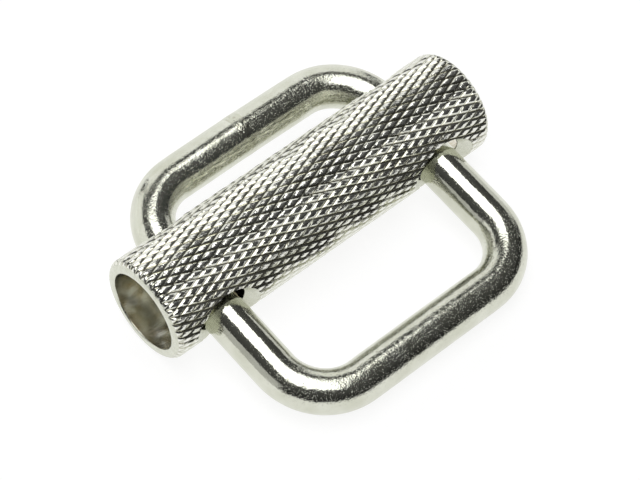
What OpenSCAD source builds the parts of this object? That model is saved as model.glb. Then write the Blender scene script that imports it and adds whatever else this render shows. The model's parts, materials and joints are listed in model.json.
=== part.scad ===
// Sliding-bar webbing adjuster for boat hardware.
// A closed link, bent from round rod and butt-welded, carries a knurled tube.
// Two legs of the link pass through clearance holes across the tube, so the tube
// slides along them and pinches the webbing against the rear bar.
// It lies as it rests on a table: the tube and the front bar touch z = 0.
// +X runs along the tube, +Y points from the front bar to the rear bar.

/* [Knurled tube] */
// Length of the tube
tube_length = 45; // [44:0.5:48]
// Outside diameter over the crests of the knurl
tube_od = 12.2; // [12:0.1:12.6]
// Bore of the tube
tube_bore = 9.4; // [9.2:0.1:9.6]
// Round at the outer edge of each tube end
end_round = 0.9; // [0.4:0.1:0.9]
// Chamfer at the mouth of the bore
bore_chamfer = 0.15; // [0.1:0.05:0.25]

/* [Cross holes] */
// Diameter of the clearance holes for the legs
leg_hole_d = 6.2; // [6.1:0.1:6.6]
// Diameter of the countersinks where they meet the outside of the tube
countersink_d = 8.8; // [8.2:0.1:9]

/* [Link] */
// Diameter of the rod
rod_d = 5; // [4.8:0.1:5.1]
// Clear width between the legs, for 25 mm webbing
inner_width = 26; // [25.6:0.1:27]
// Clear length between the front bar and the rear bar
inner_length = 26; // [25.6:0.1:27]
// Inside bend radius at the corners
bend_radius = 4; // [3.5:0.1:4.2]

/* [Butt weld] */
// Width of the weld between the two ends of the rod
weld_width = 1.6; // [1.2:0.1:2.4]
// How far the weld stands proud of the rod
weld_rise = 0.08; // [0.04:0.01:0.15]

/* [Resting place] */
// Distance of the tube's axis from the middle of the link, towards the rear bar
tube_offset = 4.6; // [3.5:0.1:5]
// Gap left under each leg where it lies in its holes
seat_gap = 0.05; // [0.03:0.01:0.1]

/* [Hidden] */
$fn = 96;

tube_r = tube_od / 2;
bore_r = tube_bore / 2;
rod_r = rod_d / 2;
leg_x = inner_width / 2 + rod_r;            // legs' centre lines
bar_y = inner_length / 2 + rod_r;           // bars' centre lines
bend_r = bend_radius + rod_r;               // centre-line bend radius
leg_half = bar_y - bend_r;                  // half the straight part of a leg
bar_half = leg_x - bend_r;                  // half the straight part of a bar
tube_lift = leg_hole_d / 2 - rod_r - seat_gap;  // tube's axis above the legs

// The link leans on the tube until the tube and the front bar touch the floor.
span = norm([bar_y + tube_offset, tube_lift]);
lean = asin((tube_r - rod_r) / span) - atan2(tube_lift, bar_y + tube_offset);
link_z = tube_r - tube_offset * sin(lean) - tube_lift * cos(lean);

// Moves a shape from the link's own frame to the place where it rests.
module at_rest() {
    translate([0, 0, link_z])
        rotate([lean, 0, 0])
            children();
}

// One quarter turn of the rod; angle 0 starts on the leg side.
module corner_bend() {
    rotate_extrude(angle = 90)
        translate([bend_r, 0])
            circle(r = rod_r);
}

// A straight run of rod centred on the origin, along X.
module rod_run(length, radius = rod_r) {
    rotate([0, 90, 0])
        cylinder(h = length, r = radius, center = true);
}

// The bent rod, open where its two ends meet the weld.
module link_rod() {
    rear_run = bar_half - weld_width / 2;
    color("#c9c8b4") at_rest() {
        for (side = [-1, 1]) {
            translate([side * leg_x, 0, 0])
                rotate([90, 0, 0])
                    cylinder(h = 2 * leg_half, r = rod_r, center = true);
            translate([side * (weld_width / 2 + rear_run / 2), bar_y, 0])
                rod_run(rear_run);
        }
        translate([0, -bar_y, 0])
            rod_run(2 * bar_half);
        for (turn = [0:3]) {
            flip = turn % 2 == 0 ? [bar_half, leg_half] : [leg_half, bar_half];
            rotate([0, 0, 90 * turn])
                translate(flip)
                    corner_bend();
        }
    }
}

// The weld: a full disc between the rod's ends, with a low rounded bead round it.
module butt_weld() {
    bead_r = (pow(weld_width / 2, 2) + pow(weld_rise, 2)) / (2 * weld_rise);
    color("#a9a794") at_rest()
        translate([0, bar_y, 0])
            rotate([0, 90, 0])
                rotate_extrude()
                    intersection() {
                        translate([0, -weld_width / 2])
                            square([rod_r + weld_rise, weld_width]);
                        translate([rod_r + weld_rise - bead_r, 0])
                            circle(r = bead_r);
                    }
}

// Half section of the tube: x is the radius, y runs along the tube.
module tube_section() {
    half = tube_length / 2;
    difference() {
        union() {
            translate([bore_r, -half + end_round])
                square([tube_r - bore_r, tube_length - 2 * end_round]);
            translate([bore_r, -half])
                square([tube_r - end_round - bore_r, tube_length]);
            for (side = [-1, 1])
                translate([tube_r - end_round, side * (half - end_round)])
                    circle(r = end_round);
        }
        for (side = [-1, 1])
            translate([bore_r, side * half])
                rotate(45)
                    square(bore_chamfer * sqrt(2), center = true);
    }
}

// One hole across the tube with a 90 degree countersink at each mouth.
module leg_hole() {
    sink_rise = (countersink_d - leg_hole_d) / 2;
    sink_start = tube_r - sink_rise;
    cylinder(h = tube_od + 2, d = leg_hole_d, center = true);
    for (end = [0, 180])
        rotate([end, 0, 0])
            translate([0, 0, sink_start])
                cylinder(h = sink_rise + 1, d1 = leg_hole_d, d2 = countersink_d + 2);
}

// The tube that slides on the legs. Its outer surface lies on the knurl's crests.
module knurled_tube() {
    color("#b9b8a6") at_rest()
        translate([0, tube_offset, tube_lift])
            difference() {
                rotate([0, 90, 0])
                    rotate_extrude()
                        tube_section();
                for (side = [-1, 1])
                    translate([side * leg_x, 0, 0])
                        rotate([90, 0, 0])
                            leg_hole();
            }
}

link_rod();
butt_weld();
knurled_tube();
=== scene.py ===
import json
import math

import bpy
import numpy as np
from mathutils import Matrix, Vector, noise


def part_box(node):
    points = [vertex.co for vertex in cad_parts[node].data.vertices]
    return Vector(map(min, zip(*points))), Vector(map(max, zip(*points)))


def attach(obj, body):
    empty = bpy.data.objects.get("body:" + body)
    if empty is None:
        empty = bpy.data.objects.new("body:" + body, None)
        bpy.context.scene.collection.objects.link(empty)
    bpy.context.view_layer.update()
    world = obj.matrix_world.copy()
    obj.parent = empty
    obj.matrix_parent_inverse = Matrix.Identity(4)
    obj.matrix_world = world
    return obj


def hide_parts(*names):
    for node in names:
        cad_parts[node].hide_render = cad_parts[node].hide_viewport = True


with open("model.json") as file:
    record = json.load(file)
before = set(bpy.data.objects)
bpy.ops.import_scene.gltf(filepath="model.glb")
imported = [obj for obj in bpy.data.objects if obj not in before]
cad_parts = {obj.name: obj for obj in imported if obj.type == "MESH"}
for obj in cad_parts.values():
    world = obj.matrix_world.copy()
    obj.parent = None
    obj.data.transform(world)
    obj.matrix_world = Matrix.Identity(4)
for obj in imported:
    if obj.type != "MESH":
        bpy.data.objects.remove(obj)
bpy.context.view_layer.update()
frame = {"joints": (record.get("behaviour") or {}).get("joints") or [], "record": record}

MM = 0.001

# ---------------------------------------------------------------- sizes from the frame
record = frame["record"]
mounts = {mount["name"]: mount for mount in record["mounts"]}
slide_axis = Vector(frame["joints"][0]["axis"])
LEAN = math.atan2(slide_axis.z, slide_axis.y)          # how far the link leans back
TUBE_R = mounts["tube_grip"]["dims"]["r_mm"] * MM
ROD_R = mounts["front_bar"]["dims"]["r_mm"] * MM
TUBE_CENTRE = Vector(mounts["tube_grip"]["pos_m"])
FRONT_BAR = Vector(mounts["front_bar"]["pos_m"])
REAR_BAR = Vector(mounts["rear_bar"]["pos_m"])
LINK_CENTRE = (FRONT_BAR + REAR_BAR) / 2
BAR_Y = (REAR_BAR - FRONT_BAR).length / 2               # half the spacing of the bars
HALF_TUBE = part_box("knurled_tube")[1].x
LEG_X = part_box("link_rod")[1].x - ROD_R                 # half the spacing of the legs
WELD_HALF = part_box("butt_weld")[1].x

# ---------------------------------------------------------------- sizes of the details
BORE_R = 4.7 * MM
BORE_ROUND = 0.2 * MM
END_ROUND = 0.9 * MM
LEG_HOLE_R = 3.1 * MM
SINK_R = 4.4 * MM                                       # countersink, at the outside of the tube
SINK_START = TUBE_R - (SINK_R - LEG_HOLE_R)             # where it begins, from the tube's axis
BEND_R = 6.5 * MM                                       # centre line of the corner bends
WELD_LIFT = 0.18 * MM                                   # peak of the rear bar at the weld

PLAIN_LIP = 0.12 * MM                                   # bare rim between the knurl and the end
KNURL_STARTS = 41                                       # grooves in each of the two families
KNURL_PITCH = 2.5 * MM                                  # between one family's grooves, along the tube
KNURL_DEPTH = 0.16 * MM
KNURL_WANDER = 3.5 * MM                                 # over which the rolled depth varies
KNURL_STEPS = 8                                         # mesh steps in one pitch
KNURL_SECTION = (1.0, 0.5, 0.0, 0.0, 0.0)               # share of the depth, groove to crest
LEFT_SHARE = 0.85                                       # the left-hand grooves are shallower


def to_row(origin):
    """The transform from a frame at origin that leans with the link to the part's frame."""
    return Matrix.Translation(origin) @ Matrix.Rotation(LEAN, 4, "X")


# ---------------------------------------------------------------- mesh helpers
def make_object(name, points, faces, place):
    """An object at the origin, whose mesh holds its place."""
    mesh = bpy.data.meshes.new(name)
    mesh.from_pydata([tuple(p) for p in points], [], faces)
    mesh.transform(place)
    mesh.update()
    piece = bpy.data.objects.new(name, mesh)
    bpy.context.scene.collection.objects.link(piece)
    return piece


def quad(i, j, rows, columns):
    """Corners of one cell of a grid of rings: along ring i, then back along the next ring."""
    this, following = i * columns, (i + 1) % rows * columns
    beside = (j + 1) % columns
    return this + j, this + beside, following + beside, following + j


def solid_faces(rows, columns):
    """Quads between rings of points, with a flat face over the first and the last ring."""
    faces = [quad(i, j, rows, columns) for i in range(rows - 1) for j in range(columns)]
    first = tuple(reversed(range(columns)))
    last = tuple(range((rows - 1) * columns, rows * columns))
    return faces + [first, last]


def inside_out(faces):
    return [tuple(reversed(face)) for face in faces]


def finish_shading(piece, sharp_degrees):
    mesh = piece.data
    mesh.shade_smooth()
    mesh.set_sharp_from_angle(angle=math.radians(sharp_degrees))


def set_attribute(piece, name, values):
    attribute = piece.data.attributes.new(name, "FLOAT", "POINT")
    attribute.data.foreach_set("value", np.asarray(values, np.float32))


def local_points(piece, place):
    """The points of a piece, in the frame that place turned them from."""
    count = len(piece.data.vertices)
    points = np.empty(count * 3)
    piece.data.vertices.foreach_get("co", points)
    back = np.array(place.inverted())
    return points.reshape(-1, 3) @ back[:3, :3].T + back[:3, 3]


# ---------------------------------------------------------------- knurled tube
def groove_share(phase):
    """How deep one family cuts at a phase, as a share of the depth; grooves lie at 0."""
    distance = np.abs((phase + 0.5) % 1.0 - 0.5)
    return np.interp(distance, np.linspace(0, 0.5, len(KNURL_SECTION)), KNURL_SECTION)


def knurl_phases(x, turn):
    """The phase of the left-hand and the right-hand family at x and a share of a turn."""
    around = turn * KNURL_STARTS
    along = x / KNURL_PITCH
    return around + along, around - along


def end_round_radius(x):
    """Radius that the rounded tube end allows at x."""
    past = np.clip(np.abs(x) - (HALF_TUBE - END_ROUND), 0, END_ROUND)
    return TUBE_R - END_ROUND + np.sqrt(np.maximum(END_ROUND**2 - past**2, 0))


def knurl_radius(x, turn):
    """Outside radius at x, for every share of a turn; the rolled depth wanders a little."""
    left, right = knurl_phases(x, turn)
    mean_share, spread = 0.92, 0.25
    deeper = np.maximum(LEFT_SHARE * groove_share(left), groove_share(right))
    spots = [(x, TUBE_R * math.cos(a), TUBE_R * math.sin(a)) for a in 2 * np.pi * turn]
    uneven = np.array([noise.noise(Vector(spot) / KNURL_WANDER) for spot in spots])
    depth = KNURL_DEPTH * np.clip((HALF_TUBE - abs(x)) / PLAIN_LIP - 1, 0, 1)
    return end_round_radius(x) - depth * np.clip(deeper * (mean_share + spread * uneven), 0, 1)


def tube_rows():
    """Stations of the closed section: outside from left to right, then the bore back."""
    step = KNURL_PITCH / KNURL_STEPS
    end_steps, mouth_steps, wall_steps = 9, 6, 36
    core_steps = int((HALF_TUBE - END_ROUND) / step)
    core = [i * step for i in range(-core_steps, core_steps + 1)]
    angles = [math.radians(90 * k / end_steps) for k in range(end_steps + 1)]
    end = [HALF_TUBE - END_ROUND + END_ROUND * math.sin(a) for a in angles]
    outside = [-x for x in reversed(end)] + core + end
    inner_half = HALF_TUBE - BORE_ROUND
    angles = [math.radians(90 * k / mouth_steps) for k in range(mouth_steps)]
    mouth = [
        (inner_half + BORE_ROUND * math.cos(a), BORE_R + BORE_ROUND * (1 - math.sin(a)))
        for a in angles
    ]
    wall = [(inner_half * (1 - 2 * k / wall_steps), BORE_R) for k in range(wall_steps + 1)]
    inside = mouth + wall + [(-x, r) for x, r in reversed(mouth)]
    return outside, inside


def tube_faces(outside, inside, columns):
    """Splits each outside quad along the groove that cuts it, and keeps the bore as quads."""
    faces = []
    rows = len(outside) + len(inside)
    for i in range(rows):
        for j in range(columns):
            a, b, c, d = quad(i, j, rows, columns)
            if i >= len(outside) - 1:
                faces.append((a, d, c, b))
                continue
            x = (outside[i] + outside[i + 1]) / 2
            left, right = knurl_phases(x, (j + 0.5) / columns)
            if groove_share(left) > groove_share(right):
                faces += [(a, d, b), (d, c, b)]
            else:
                faces += [(a, d, c), (a, c, b)]
    return faces


def make_tube():
    columns = KNURL_STARTS * KNURL_STEPS
    outside, inside = tube_rows()
    turn = np.arange(columns) / columns
    rings = [(x, knurl_radius(x, turn)) for x in outside]
    rings += [(x, np.full(columns, radius)) for x, radius in inside]
    cos, sin = np.cos(2 * np.pi * turn), np.sin(2 * np.pi * turn)
    points = np.concatenate(
        [np.stack([np.full(columns, x), r * cos, r * sin], 1) for x, r in rings]
    )
    faces = tube_faces(outside, inside, columns)
    return make_object("knurled_sleeve", points, faces, to_row(TUBE_CENTRE))


def make_hole_cutter(side):
    """A leg's hole with a 90 degree countersink at each mouth, as a solid to cut with."""
    columns = 96
    reach = 1.5 * MM                                    # how far the cutter stands out of the tube
    wide = SINK_R + reach
    section = [(wide, TUBE_R + reach), (LEG_HOLE_R, SINK_START)]
    section += [(LEG_HOLE_R, -SINK_START), (wide, -TUBE_R - reach)]
    points = []
    for radius, y in section:
        for k in range(columns):
            a = 2 * math.pi * k / columns
            points.append((side * LEG_X + radius * math.cos(a), y, radius * math.sin(a)))
    faces = solid_faces(len(section), columns)
    return make_object("leg_hole_cutter", points, faces, to_row(TUBE_CENTRE))


def cut(piece, cutters):
    """Takes the cutters out of the piece, and out of the scene."""
    for cutter in cutters:
        modifier = piece.modifiers.new("cut", "BOOLEAN")
        modifier.operation = "DIFFERENCE"
        modifier.solver = "MANIFOLD"
        modifier.object = cutter
    graph = bpy.context.evaluated_depsgraph_get()
    mesh = bpy.data.meshes.new_from_object(piece.evaluated_get(graph))
    piece.modifiers.clear()
    piece.data = mesh
    for cutter in cutters:
        bpy.data.objects.remove(cutter)


def paint_tube(piece, knurl, machined, bore):
    """Gives each face of the tube its finish by the surface that it lies on."""
    place = to_row(TUBE_CENTRE)
    points = local_points(piece, place)
    mesh = piece.data
    mesh.materials.clear()
    for material in (knurl, machined, bore):
        mesh.materials.append(material)
    on_knurl, on_machined, on_bore = range(3)
    close = 0.02 * MM
    radius = np.hypot(points[:, 1], points[:, 2])
    hole_wall = np.zeros(len(points), bool)
    for side in (-1, 1):
        from_leg = np.hypot(points[:, 0] - side * LEG_X, points[:, 2])
        cutter = LEG_HOLE_R + np.maximum(np.abs(points[:, 1]) - SINK_START, 0)
        hole_wall |= np.abs(from_leg - cutter) < close
    lip = np.abs(points[:, 0]) > HALF_TUBE - BORE_ROUND - close
    in_bore = radius < BORE_R + close
    for polygon in mesh.polygons:
        corners = list(polygon.vertices)
        if in_bore[corners].all() and not hole_wall[corners].all():
            polygon.material_index = on_bore
        elif hole_wall[corners].all() or lip[corners].all():
            polygon.material_index = on_machined
        else:
            polygon.material_index = on_knurl
    # crest is 0 at the groove bottoms and 1 on the crests; the knurl colour reads it to paint shade
    # into the grooves
    crest = np.clip(1 - (end_round_radius(points[:, 0]) - radius) / KNURL_DEPTH, 0, 1)
    set_attribute(piece, "crest", crest)


# ---------------------------------------------------------------- link
def weld_rise(x):
    """How far welding has lifted the rear bar at x: a slight peak at the weld."""
    return WELD_LIFT * max(0.0, 1 - abs(x) / (LEG_X - BEND_R))


def link_path(step):
    """Centre line of the rod from one weld face round to the other, in the link's frame.

    Each station is (x, y, outward x, outward y, bend): bend is 1 in a corner, 0 on a run.
    """
    bar_half, leg_half = LEG_X - BEND_R, BAR_Y - BEND_R
    stations = []

    def run(start, end, outward):
        count = max(2, round(math.dist(start, end) / step))
        for k in range(count):
            t = k / count
            x = start[0] + t * (end[0] - start[0])
            y = start[1] + t * (end[1] - start[1])
            stations.append((x, y, *outward, 0.0))

    def corner(centre, first_degrees):
        count = round(BEND_R * math.pi / 2 / step)
        for k in range(count):
            a = math.radians(first_degrees - 90 * k / count)
            x = centre[0] + BEND_R * math.cos(a)
            y = centre[1] + BEND_R * math.sin(a)
            stations.append((x, y, math.cos(a), math.sin(a), 1.0))

    run((WELD_HALF, BAR_Y), (bar_half, BAR_Y), (0, 1))
    corner((bar_half, leg_half), 90)
    run((LEG_X, leg_half), (LEG_X, -leg_half), (1, 0))
    corner((bar_half, -leg_half), 0)
    run((bar_half, -BAR_Y), (-bar_half, -BAR_Y), (0, -1))
    corner((-bar_half, -leg_half), -90)
    run((-LEG_X, -leg_half), (-LEG_X, leg_half), (-1, 0))
    corner((-bar_half, leg_half), -180)
    run((-bar_half, BAR_Y), (-WELD_HALF, BAR_Y), (0, 1))
    stations.append((-WELD_HALF, BAR_Y, 0, 1, 0.0))
    return np.array(stations)


def smooth_along(values, width):
    """Blends steps between stations of the path, over about width stations."""
    kernel = np.hanning(width)
    kernel /= kernel.sum()
    padded = np.pad(values, width // 2, mode="edge")
    return np.convolve(padded, kernel, mode="same")[width // 2 : -(width // 2)]


def make_link():
    columns = 72
    path = link_path(0.25 * MM)
    bend_blend, leg_blend = 13, 21                      # in stations of the path
    close = 0.1 * MM
    bend = smooth_along(path[:, 4], bend_blend)
    on_leg = smooth_along((np.abs(np.abs(path[:, 0]) - LEG_X) < close).astype(float), leg_blend)
    squash, swell = 0.01, 0.004                         # the bends narrow the round rod and raise it
    waviness = 0.006 * MM
    wave_size = 1.6 * MM
    leg_wear = 0.7                                      # the tube rubs the legs smoother
    points, peel = [], []
    for (x, y, out_x, out_y, _), bent, leg in zip(path, bend, on_leg):
        for k in range(columns):
            a = 2 * math.pi * k / columns
            flat = ROD_R * (1 - squash * bent) * math.cos(a)
            tall = ROD_R * (1 + swell * bent) * math.sin(a)
            lift = weld_rise(x) if y > 0 else 0
            point = Vector((x + flat * out_x, y + flat * out_y, tall + lift))
            wave = float(noise.noise(point / wave_size) * waviness * (1 - leg_wear * leg))
            away = Vector((math.cos(a) * out_x, math.cos(a) * out_y, math.sin(a)))
            points.append(point + wave * away)
            peel.append(1 - leg)
    faces = inside_out(solid_faces(len(path), columns))
    piece = make_object("bent_rod", points, faces, to_row(LINK_CENTRE))
    set_attribute(piece, "peel", peel)
    return piece


def make_weld():
    """The weld between the rod's ends: a low uneven bead, dressed a little."""
    columns, rows = 72, 17
    rise = 0.015 * MM
    lump_size = 0.7 * MM
    mean_share, spread = 0.7, 0.8
    points = []
    for i in range(rows):
        t = -1 + 2 * i / (rows - 1)
        x = t * WELD_HALF
        for k in range(columns):
            a = 2 * math.pi * k / columns
            seed = Vector((x, ROD_R * math.cos(a), ROD_R * math.sin(a)))
            lumps = mean_share + spread * noise.noise(seed / lump_size)
            radius = ROD_R + rise * (1 - t * t) ** 2 * lumps
            points.append((x, radius * math.cos(a), radius * math.sin(a) + weld_rise(x)))
    faces = inside_out(solid_faces(rows, columns))
    return make_object("weld_bead", points, faces, to_row(REAR_BAR))


# ---------------------------------------------------------------- materials
class Finish:
    """A small helper that builds one metal material node by node."""

    def __init__(self, name):
        self.material = bpy.data.materials.new(name)
        self.material.use_nodes = True
        self.tree = self.material.node_tree
        self.shader = self.tree.nodes["Principled BSDF"]
        self.shader.inputs["Metallic"].default_value = 1.0
        self.coords = self.tree.nodes.new("ShaderNodeTexCoord").outputs["Object"]

    def link(self, source, target):
        self.tree.links.new(source, target)

    def noise(self, size_mm, detail=2.0, stretch=None):
        """Noise with features of about size_mm; stretch squeezes it along X, Y and Z."""
        node = self.tree.nodes.new("ShaderNodeTexNoise")
        node.inputs["Scale"].default_value = 1 / (size_mm * MM)
        node.inputs["Detail"].default_value = detail
        source = self.coords
        if stretch:
            mapping = self.tree.nodes.new("ShaderNodeMapping")
            mapping.inputs["Scale"].default_value = stretch
            self.link(self.coords, mapping.inputs["Vector"])
            source = mapping.outputs["Vector"]
        self.link(source, node.inputs["Vector"])
        return node.outputs["Fac"]

    def attribute(self, name):
        node = self.tree.nodes.new("ShaderNodeAttribute")
        node.attribute_name = name
        return node.outputs["Fac"]

    def remap(self, factor, start, full, low, high):
        """low where the factor is at start or below, high where it is at full or above."""
        node = self.tree.nodes.new("ShaderNodeMapRange")
        node.inputs["From Min"].default_value = start
        node.inputs["From Max"].default_value = full
        node.inputs["To Min"].default_value = low
        node.inputs["To Max"].default_value = high
        self.link(factor, node.inputs["Value"])
        return node.outputs["Result"]

    def scale(self, factor, low, high):
        return self.remap(factor, 0, 1, low, high)

    def peaks(self, factor, start, full):
        return self.remap(factor, start, full, 0, 1)

    def multiply(self, first, second):
        node = self.tree.nodes.new("ShaderNodeMath")
        node.operation = "MULTIPLY"
        self.link(first, node.inputs[0])
        self.link(second, node.inputs[1])
        return node.outputs[0]

    def colours(self, factor, *stops):
        node = self.tree.nodes.new("ShaderNodeValToRGB")
        ramp = node.color_ramp
        while len(ramp.elements) < len(stops):
            ramp.elements.new(0.5)
        for element, (place, colour) in zip(ramp.elements, stops):
            element.position = place
            element.color = (*colour, 1)
        self.link(factor, node.inputs["Fac"])
        return node.outputs["Color"]

    def bump(self, height, depth_mm, below=None):
        """A bump of that depth, on top of the bump below it."""
        node = self.tree.nodes.new("ShaderNodeBump")
        node.inputs["Distance"].default_value = depth_mm * MM
        self.link(height, node.inputs["Height"])
        if below:
            self.link(below, node.inputs["Normal"])
        return node.outputs["Normal"]

    def set(self, **sockets):
        names = {"colour": "Base Color", "roughness": "Roughness", "normal": "Normal"}
        for key, source in sockets.items():
            self.link(source, self.shader.inputs[names[key]])


WARM_NICKEL = (0.61, 0.62, 0.52)
PALE_NICKEL = (0.69, 0.70, 0.61)
DULL_NICKEL = (0.42, 0.40, 0.31)
# painted shade: near black, for the bottoms of the knurl grooves
PAINTED_GROOVE_SHADE = (0.12, 0.12, 0.10)
BORE_STAIN = (0.64, 0.58, 0.45)
BRIGHT_NICKEL = (0.80, 0.80, 0.74)


def rod_finish():
    finish = Finish("plated_rod")
    finish.set(
        colour=finish.colours(finish.noise(2.5), (0.35, WARM_NICKEL), (0.7, PALE_NICKEL)),
        roughness=finish.scale(finish.noise(0.6, 3), 0.04, 0.09),
    )
    peel = finish.scale(finish.attribute("peel"), 0.25, 1)
    specks = finish.peaks(finish.noise(0.14, 2), 0.6, 0.85)
    rough_skin = finish.bump(finish.multiply(specks, peel), 0.026)
    skin = finish.bump(finish.multiply(finish.noise(0.19, 2), peel), 0.02, below=rough_skin)
    finish.set(normal=finish.bump(finish.noise(0.9, 1), 0.02, below=skin))
    return finish.material


def weld_finish():
    finish = Finish("plated_weld")
    finish.set(
        colour=finish.colours(finish.noise(0.5), (0.2, DULL_NICKEL), (0.45, WARM_NICKEL)),
        roughness=finish.scale(finish.noise(0.4, 3), 0.05, 0.14),
    )
    ripple = finish.bump(finish.noise(0.5, 2, stretch=(2, 1, 1)), 0.03)
    finish.set(normal=finish.bump(finish.noise(0.2, 2), 0.035, below=ripple))
    return finish.material


def knurl_finish():
    finish = Finish("plated_knurl")
    crest = finish.attribute("crest")
    # colour by crest height: lighter on the crests, darker down into the grooves and near black at
    # their bottoms, which is painted shade
    finish.set(
        colour=finish.colours(
            crest, (0.0, PAINTED_GROOVE_SHADE), (0.2, DULL_NICKEL), (0.55, PALE_NICKEL), (1.0, BRIGHT_NICKEL)
        ),
        roughness=finish.scale(finish.noise(0.25, 3), 0.1, 0.22),
        normal=finish.bump(finish.noise(0.25, 3), 0.02),
    )
    return finish.material


def machined_finish():
    finish = Finish("plated_machined")
    finish.set(
        colour=finish.colours(finish.noise(0.8), (0.3, WARM_NICKEL), (0.7, PALE_NICKEL)),
        roughness=finish.scale(finish.noise(0.3, 3), 0.2, 0.34),
        normal=finish.bump(finish.noise(0.2, 3), 0.01),
    )
    return finish.material


def bore_finish():
    finish = Finish("plated_bore")
    finish.set(
        colour=finish.colours(finish.noise(1.2), (0.35, BORE_STAIN), (0.6, BRIGHT_NICKEL)),
        roughness=finish.scale(finish.noise(0.5, 3), 0.14, 0.28),
        normal=finish.bump(finish.noise(0.3, 3, stretch=(0.05, 1, 1)), 0.02),
    )
    return finish.material


# ---------------------------------------------------------------- the object
tube = make_tube()
cut(tube, [make_hole_cutter(-1), make_hole_cutter(1)])
paint_tube(tube, knurl_finish(), machined_finish(), bore_finish())
finish_shading(tube, sharp_degrees=30)
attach(tube, "tube")
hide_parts("knurled_tube")

link = make_link()
link.data.materials.append(rod_finish())
finish_shading(link, sharp_degrees=40)
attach(link, "link")
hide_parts("link_rod")

weld = make_weld()
weld.data.materials.append(weld_finish())
finish_shading(weld, sharp_degrees=40)
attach(weld, "link")
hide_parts("butt_weld")


# ---------------------------------------------------------------- stage, light and camera
LAMP_DISTANCE = 0.6                                     # metres from the middle of the tube


def make_floor():
    """Plain white paper, mostly lit by its own even glow."""
    half = 1.5                                          # metres
    corners = [(-half, -half, 0), (half, -half, 0), (half, half, 0), (-half, half, 0)]
    floor = make_object("floor", corners, [(0, 1, 2, 3)], Matrix.Identity(4))
    paper = bpy.data.materials.new("paper")
    paper.use_nodes = True
    shader = paper.node_tree.nodes["Principled BSDF"]
    shader.inputs["Base Color"].default_value = (0.25, 0.25, 0.25, 1)
    shader.inputs["Roughness"].default_value = 1.0
    shader.inputs["Specular IOR Level"].default_value = 0.0
    shader.inputs["Emission Color"].default_value = (1, 1, 1, 1)
    shader.inputs["Emission Strength"].default_value = 0.85
    floor.data.materials.append(paper)


def towards(azimuth, elevation):
    """The unit vector at those angles in degrees, from +X and from the floor."""
    a, e = math.radians(azimuth), math.radians(elevation)
    return Vector((math.cos(e) * math.cos(a), math.cos(e) * math.sin(a), math.sin(e)))


def softbox(name, direction, size, radiance, spin=0):
    """A rectangular light that faces the object; radiance is what a mirror would show."""
    light = bpy.data.lights.new(name, "AREA")
    light.shape = "RECTANGLE"
    light.size, light.size_y = size
    light.energy = radiance * math.pi * size[0] * size[1]
    lamp = bpy.data.objects.new(name, light)
    bpy.context.scene.collection.objects.link(lamp)
    lamp.location = TUBE_CENTRE + direction * LAMP_DISTANCE
    facing = direction.to_track_quat("Z", "Y").to_matrix()
    turned = facing @ Matrix.Rotation(math.radians(spin), 3, "Z")
    lamp.rotation_euler = turned.to_euler()


def make_lights():
    softbox("overhead", Vector((-0.06, -0.03, 1)).normalized(), (0.60, 0.43), 2.6, spin=126)
    softbox("wall_back_right", towards(60, 22), (0.63, 0.54), 1.0)
    softbox("wall_back", towards(126, 15), (0.68, 0.42), 1.05)
    softbox("wall_right", towards(14, 8), (0.26, 0.36), 0.7)
    softbox("wall_left", towards(174, 10), (0.3, 0.4), 0.55)


def make_world():
    """A dim room, a little lighter overhead."""
    wall_grey, ceiling_grey = 0.035, 0.095
    world = bpy.data.worlds.new("studio")
    world.use_nodes = True
    tree = world.node_tree
    height = tree.nodes.new("ShaderNodeSeparateXYZ")
    tree.links.new(tree.nodes.new("ShaderNodeTexCoord").outputs["Generated"], height.inputs[0])
    grey = tree.nodes.new("ShaderNodeMapRange")
    grey.inputs["From Min"].default_value = 0.3
    grey.inputs["From Max"].default_value = 0.9
    grey.inputs["To Min"].default_value = wall_grey
    grey.inputs["To Max"].default_value = ceiling_grey
    tree.links.new(height.outputs["Z"], grey.inputs["Value"])
    tree.links.new(grey.outputs["Result"], tree.nodes["Background"].inputs["Color"])
    bpy.context.scene.world = world


def make_camera():
    """The viewpoint: over the front left corner, with a long lens and a slight roll."""
    azimuth, elevation, roll = -133.04, 53.06, 1.86     # degrees
    distance = 0.285                                    # metres
    target = Vector((-2.0, -0.6, 6.1)) * MM
    data = bpy.data.cameras.new("camera")
    data.lens = 149.2
    data.sensor_width = 36
    camera = bpy.data.objects.new("camera", data)
    bpy.context.scene.collection.objects.link(camera)
    direction = towards(azimuth, elevation)
    facing = direction.to_track_quat("Z", "Y").to_matrix().to_4x4()
    spin = Matrix.Rotation(math.radians(roll), 4, "Z")
    camera.matrix_world = Matrix.Translation(target + direction * distance) @ facing @ spin
    bpy.context.scene.camera = camera


make_floor()
make_lights()
make_world()
make_camera()
bpy.context.scene.view_settings.view_transform = "Standard"
